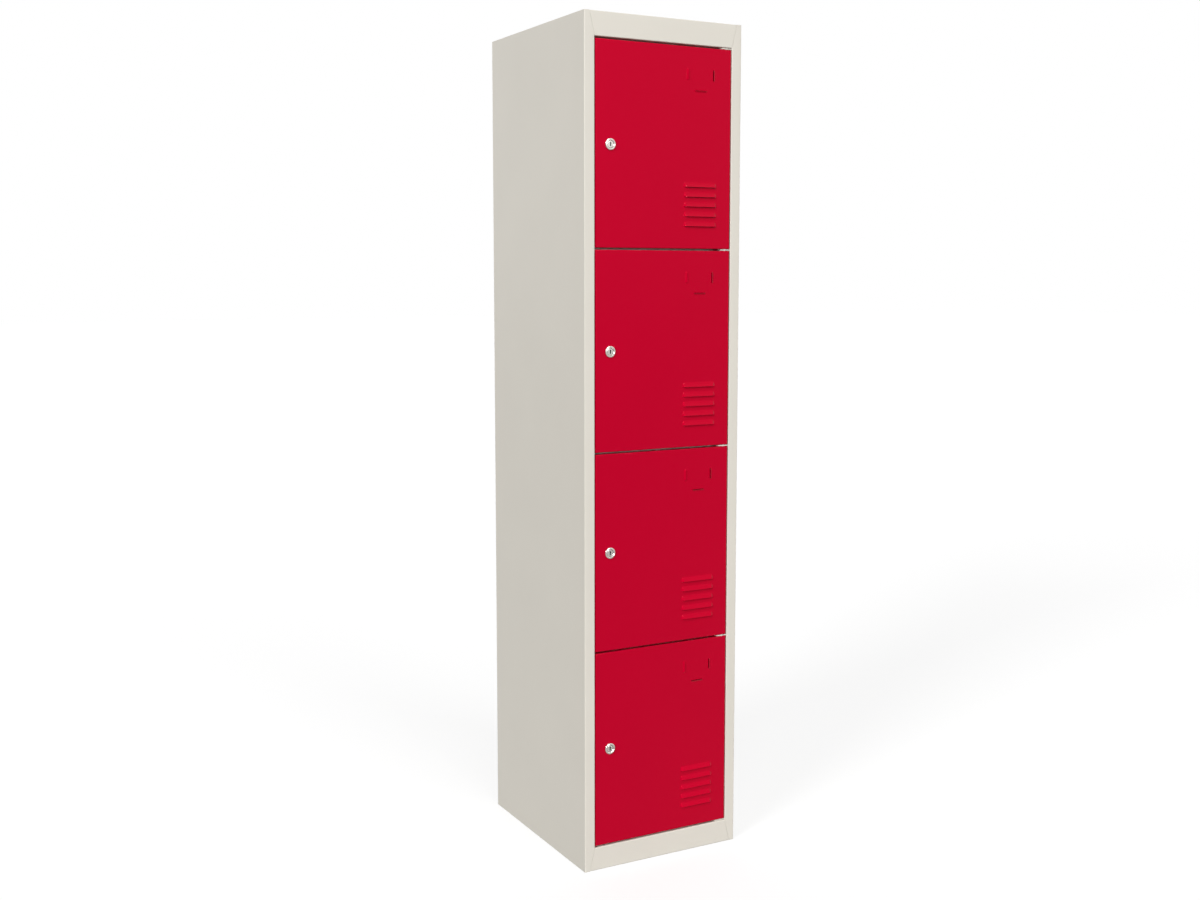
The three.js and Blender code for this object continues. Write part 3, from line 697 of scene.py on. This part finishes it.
class Surface:
    """A Principled material whose colour, roughness and relief follow noise on the object itself."""

    def __init__(self, name, colour, **values):
        self.material = bpy.data.materials.new(name)
        self.material.use_nodes = True
        self.tree = self.material.node_tree
        self.shader = self.tree.nodes["Principled BSDF"]
        self.shader.inputs["Base Color"].default_value = (*colour, 1)
        for socket, value in values.items():
            self.shader.inputs[socket.replace("_", " ")].default_value = value
        self.colour = colour
        self.place = self.tree.nodes.new("ShaderNodeTexCoord")
        self.height = None

    def noise(self, scale, detail, stretch=(1, 1, 1)):
        mapping = self.tree.nodes.new("ShaderNodeMapping")
        mapping.inputs["Scale"].default_value = stretch
        self.tree.links.new(self.place.outputs["Object"], mapping.inputs["Vector"])
        noise = self.tree.nodes.new("ShaderNodeTexNoise")
        noise.inputs["Scale"].default_value = scale
        noise.inputs["Detail"].default_value = detail
        self.tree.links.new(mapping.outputs["Vector"], noise.inputs["Vector"])
        return noise.outputs["Fac"]

    def tone(self, source, spread):
        """Colour that wanders to both sides of the stated one, by the spread where the noise is 0 or 1."""
        ramp = self.tree.nodes.new("ShaderNodeValToRGB")
        for element, factor in zip(ramp.color_ramp.elements, (1 - spread, 1 + spread)):
            element.color = (*[min(1.0, c * factor) for c in self.colour], 1)
        self.tree.links.new(source, ramp.inputs["Fac"])
        self.tree.links.new(ramp.outputs["Color"], self.shader.inputs["Base Color"])

    def gloss(self, source, low, high):
        self.tree.links.new(self.spread(source, 0.0, 1.0, low, high), self.shader.inputs["Roughness"])

    def spread(self, source, from_low, from_high, to_low, to_high):
        step = self.tree.nodes.new("ShaderNodeMapRange")
        step.inputs["From Min"].default_value = from_low
        step.inputs["From Max"].default_value = from_high
        step.inputs["To Min"].default_value = to_low
        step.inputs["To Max"].default_value = to_high
        self.tree.links.new(source, step.inputs["Value"])
        return step.outputs["Result"]

    def painted_shade_behind(self, front, back, share):
        """Painted shade: keeps a share of the colour behind a plane across Y, with a soft change from front
        to back.
        """
        split = self.tree.nodes.new("ShaderNodeSeparateXYZ")
        scale = self.tree.nodes.new("ShaderNodeVectorMath")
        scale.operation = "SCALE"
        socket = self.shader.inputs["Base Color"]
        self.tree.links.new(self.place.outputs["Object"], split.inputs[0])
        self.tree.links.new(socket.links[0].from_socket, scale.inputs[0])
        self.tree.links.new(self.spread(split.outputs["Y"], front, back, 1.0, share), scale.inputs["Scale"])
        self.tree.links.new(scale.outputs["Vector"], socket)

    def relief(self, source, depth):
        """Adds a relief of that depth in metres to those already there."""
        bump = self.tree.nodes.new("ShaderNodeBump")
        bump.inputs["Strength"].default_value = 1.0
        bump.inputs["Distance"].default_value = depth
        self.tree.links.new(source, bump.inputs["Height"])
        if self.height:
            self.tree.links.new(self.height, bump.inputs["Normal"])
        self.height = bump.outputs["Normal"]
        self.tree.links.new(self.height, self.shader.inputs["Normal"])


def powder_coat(name, colour, rough, **values):
    """Baked powder coat: orange peel some 2 mm across on sheet that isn't perfectly flat."""
    made = Surface(name, colour, **values)
    made.tone(made.noise(scale=5.0, detail=3.0), PAINT_TONE)
    made.gloss(made.noise(scale=14.0, detail=4.0), rough, rough + PAINT_GLOSS)
    made.relief(made.noise(scale=3.5, detail=1.0), SHEET_WAVE)
    made.relief(made.noise(scale=420.0, detail=2.0), ORANGE_PEEL)
    made.relief(made.noise(scale=1700.0, detail=1.0), PAINT_GRAIN)
    return made.material


def plated(name, colour, rough, grain):
    """Plated steel, with a grain that the noise's stretch draws out."""
    made = Surface(name, colour, Metallic=1.0)
    made.tone(made.noise(scale=160.0, detail=3.0), PLATE_TONE)
    made.gloss(made.noise(scale=260.0, detail=3.0), rough, rough + PLATE_GLOSS)
    made.relief(made.noise(scale=900.0, detail=3.0, stretch=grain), PLATE_GRAIN)
    return made


def lock_metal():
    """Nickel plate on the lock's face, darkened by painted shade in its keyway and on the lock behind the
    door.
    """
    made = plated("chrome_look", NICKEL_COLOUR, rough=0.08, grain=(1, 1, 1))
    face = CABINET_FRONT - SEAT - BEZEL_HEIGHT + BEZEL_RECESS
    # Painted shade: the colour falls to a share of itself deeper than the plug's face, darkest in the
    # keyway
    made.painted_shade_behind((face + SHADE_START_DEPTH) * MM, (face + SHADE_FULL_DEPTH) * MM, SHADE_SHARE)
    return made.material


def moulded(name, colour, rough, **values):
    made = Surface(name, colour, **values)
    made.tone(made.noise(scale=120.0, detail=2.0), MOULD_TONE)
    made.gloss(made.noise(scale=300.0, detail=2.0), rough - MOULD_GLOSS, rough + MOULD_GLOSS)
    made.relief(made.noise(scale=1400.0, detail=2.0), MOULD_GRAIN)
    return made.material


materials = {
    "frame_paint": powder_coat("frame_paint_look", FRAME_COLOUR, PAINT_ROUGHNESS),
    "door_paint": powder_coat(
        "door_paint_look",
        DOOR_COLOUR,
        PAINT_ROUGHNESS,
        Specular_IOR_Level=0.85,
        Specular_Tint=DOOR_SHEEN,
        Coat_Weight=0.05,
        Coat_Roughness=0.12,
    ),
    "zinc": plated("zinc_look", ZINC_COLOUR, rough=0.28, grain=(1, 6, 1)).material,
    "chrome": lock_metal(),
    "nylon": moulded("nylon_look", NYLON_COLOUR, rough=0.5, Subsurface_Weight=0.1),
    "rubber": moulded("rubber_look", RUBBER_COLOUR, rough=0.78),
}


def even_shading():
    """Modifier that joins a node's facets round its folds into smooth ones and keeps its real edges."""
    tree = bpy.data.node_groups.new("even_shading", "GeometryNodeTree")
    tree.interface.new_socket("Geometry", in_out="INPUT", socket_type="NodeSocketGeometry")
    tree.interface.new_socket("Geometry", in_out="OUTPUT", socket_type="NodeSocketGeometry")
    add = tree.nodes.new
    start, end = add("NodeGroupInput"), add("NodeGroupOutput")
    merge, angle = add("GeometryNodeMergeByDistance"), add("GeometryNodeInputMeshEdgeAngle")
    compare = add("FunctionNodeCompare")
    edges, faces = add("GeometryNodeSetShadeSmooth"), add("GeometryNodeSetShadeSmooth")
    merge.inputs["Distance"].default_value = SAME_NODE_POINT
    compare.data_type, compare.operation = "FLOAT", "LESS_THAN"
    compare.inputs[1].default_value = math.radians(FOLD_CREASE)
    edges.domain, faces.domain = "EDGE", "FACE"
    link = tree.links.new
    link(start.outputs[0], merge.inputs["Geometry"])
    link(merge.outputs["Geometry"], faces.inputs["Geometry"])
    link(faces.outputs["Geometry"], edges.inputs["Geometry"])
    link(angle.outputs["Unsigned Angle"], compare.inputs[0])
    link(compare.outputs["Result"], edges.inputs["Shade Smooth"])
    link(edges.outputs["Geometry"], end.inputs[0])
    return tree


shading = even_shading()
for name, node in nodes.items():
    if slot_of[name] == "frame_paint":
        node.material_slots[0].material = materials["frame_paint"]
        node.modifiers.new("shading", "NODES").node_group = shading
        edge = node.modifiers.new("edge", "BEVEL")
        edge.width, edge.segments = EDGE_ROUND * MM, 2
        edge.limit_method, edge.angle_limit = "ANGLE", math.radians(EDGE_CREASE)
        node.modifiers.new("even", "WEIGHTED_NORMAL").keep_sharp = True

# Doors and locks
door_shape = door()
shapes = {
    "lock_body": lock_body(),
    "lock_nut": lock_nut(),
    "lock_plug": lock_plug(),
    "lock_cam": lock_cam(),
    "cam_screw": cam_screw(),
}
lower_bush = bush()
for number in DOORS:
    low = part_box(f"door_panel_{number}")[0] / MM
    corner = Vector((low.x, CABINET_FRONT, low.z))
    place(door_shape, f"door_panel_{number}", corner, copy=True)
    for kind, shape in shapes.items():
        place(shape, f"{kind}_{number}", corner + Vector((LOCK_X, 0, DOOR_HEIGHT / 2)), copy=True)
    foot = corner + Vector((PIN_X, PIN_Y, 0))
    place(lower_bush, f"hinge_bush_{number}_lower", foot, copy=True)
    upper = bush()
    moved(upper, Matrix.Rotation(math.pi, 4, "X"))
    place(upper, f"hinge_bush_{number}_upper", foot + Vector((0, 0, DOOR_HEIGHT)))
for spare in (door_shape, lower_bush, *shapes.values()):
    bpy.data.objects.remove(spare)

# Hinge pins and door buffers
for number in PINS:
    name = f"hinge_pin_{number}"
    low, high = (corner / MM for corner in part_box(name))
    plate_low, plate_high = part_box(f"hinge_plate_{number}")
    middle = (plate_low.z + plate_high.z) / 2 / MM
    shape = pin(low.z - middle, high.z - middle)
    place(shape, name, Vector(((low.x + high.x) / 2, (low.y + high.y) / 2, middle)))
for number in DOORS:
    for end in ("lower", "upper"):
        name = f"door_buffer_{number}_{end}"
        low, high = (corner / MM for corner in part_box(name))
        place(buffer(), name, Vector(((low.x + high.x) / 2, low.y + BUFFER_HEAD, (low.z + high.z) / 2)))

# Floor, world, lamps and camera


def light_path_sum(tree, kinds):
    """1 for rays of these kinds and 0 for the others."""
    path = tree.nodes.new("ShaderNodeLightPath")
    total = path.outputs[kinds[0]]
    for kind in kinds[1:]:
        add = tree.nodes.new("ShaderNodeMath")
        add.operation, add.use_clamp = "ADD", True
        tree.links.new(total, add.inputs[0])
        tree.links.new(path.outputs[kind], add.inputs[1])
        total = add.outputs[0]
    return total


SEEN = ("Is Camera Ray", "Is Transmission Ray")
FLOOR_REACH = 40.0
FLOOR_DROP = 0.0003
SENSOR = 36
LENS = 42.033
SHIFT = -0.02
CAMERA_PLACE = (-1.5377, -2.7678, 1.2625)
CAMERA_PITCH = 84.0
CAMERA_YAW = -28.558


def make_world(strength, mirrored):
    """An even light all round, brighter in reflections, which the camera sees as white."""
    world = bpy.data.worlds.new("studio")
    bpy.context.scene.world = world
    world.use_nodes = True
    tree = world.node_tree
    light = tree.nodes["Background"]
    light.inputs["Color"].default_value = (1, 1, 1, 1)
    level = tree.nodes.new("ShaderNodeMath")
    level.operation = "MULTIPLY_ADD"
    level.inputs[1].default_value, level.inputs[2].default_value = mirrored - strength, strength
    tree.links.new(light_path_sum(tree, ("Is Glossy Ray",)), level.inputs[0])
    tree.links.new(level.outputs[0], light.inputs["Strength"])
    seen = tree.nodes.new("ShaderNodeBackground")
    seen.inputs["Color"].default_value = (1, 1, 1, 1)
    seen.inputs["Strength"].default_value = 1.0
    mix = tree.nodes.new("ShaderNodeMixShader")
    tree.links.new(light_path_sum(tree, SEEN), mix.inputs["Fac"])
    tree.links.new(light.outputs[0], mix.inputs[1])
    tree.links.new(seen.outputs[0], mix.inputs[2])
    tree.links.new(mix.outputs[0], tree.nodes["World Output"].inputs["Surface"])


def make_floor(albedo, lift, mirrored):
    """A floor that takes shadows.

    For the camera its light is lifted until it is white beside them, and a little of that lift is left in
    reflections.
    """
    floor = solid([(-1, -1, 0), (1, -1, 0), (1, 1, 0), (-1, 1, 0)], [(0, 1, 2, 3)])
    floor.name = "floor"
    floor.data.transform(Matrix.Translation((0, 0, -FLOOR_DROP)) @ Matrix.Scale(FLOOR_REACH, 4))
    material = bpy.data.materials.new("floor_look")
    material.use_nodes = True
    tree = material.node_tree
    tree.nodes.remove(tree.nodes["Principled BSDF"])
    diffuse, glow = tree.nodes.new("ShaderNodeBsdfDiffuse"), tree.nodes.new("ShaderNodeEmission")
    add = tree.nodes.new("ShaderNodeAddShader")
    diffuse.inputs["Color"].default_value = (albedo, albedo, albedo, 1)
    strength, share = tree.nodes.new("ShaderNodeMath"), tree.nodes.new("ShaderNodeMath")
    strength.operation, share.operation = "MULTIPLY_ADD", "MULTIPLY"
    strength.inputs[1].default_value, share.inputs[1].default_value = lift, mirrored
    tree.links.new(light_path_sum(tree, SEEN), strength.inputs[0])
    tree.links.new(light_path_sum(tree, ("Is Glossy Ray",)), share.inputs[0])
    tree.links.new(share.outputs[0], strength.inputs[2])
    tree.links.new(strength.outputs[0], glow.inputs["Strength"])
    tree.links.new(diffuse.outputs[0], add.inputs[0])
    tree.links.new(glow.outputs[0], add.inputs[1])
    tree.links.new(add.outputs[0], tree.nodes["Material Output"].inputs["Surface"])
    floor.data.materials.append(material)


def make_sun(name, azimuth, elevation, strength, angle):
    """A soft sun; azimuth 0 shines on the front and positive ones come from the right."""
    data = bpy.data.lights.new(name, "SUN")
    data.energy, data.angle = strength, math.radians(angle)
    sun = bpy.data.objects.new(name, data)
    bpy.context.scene.collection.objects.link(sun)
    a, e = math.radians(azimuth), math.radians(elevation)
    towards = Vector((math.sin(a) * math.cos(e), -math.cos(a) * math.cos(e), math.sin(e)))
    sun.rotation_euler = towards.to_track_quat("Z", "Y").to_euler()


make_world(strength=0.24, mirrored=0.85)
make_floor(albedo=0.35, lift=0.7, mirrored=0.2)
make_sun("key", azimuth=8, elevation=14, strength=1.0, angle=26)
make_sun("top", azimuth=-12, elevation=52, strength=0.9, angle=40)
make_sun("left", azimuth=-64, elevation=24, strength=1.82, angle=18)
make_sun("back", azimuth=150, elevation=20, strength=1.0, angle=80)

camera_data = bpy.data.cameras.new("camera")
camera_data.sensor_width = SENSOR
camera_data.lens = LENS
camera_data.shift_y = SHIFT
camera = bpy.data.objects.new("camera", camera_data)
bpy.context.scene.collection.objects.link(camera)
camera.location = CAMERA_PLACE
camera.rotation_euler = (math.radians(CAMERA_PITCH), 0, math.radians(CAMERA_YAW))
bpy.context.scene.camera = camera
bpy.context.scene.view_settings.view_transform = "Standard"

bpy.context.view_layer.update()
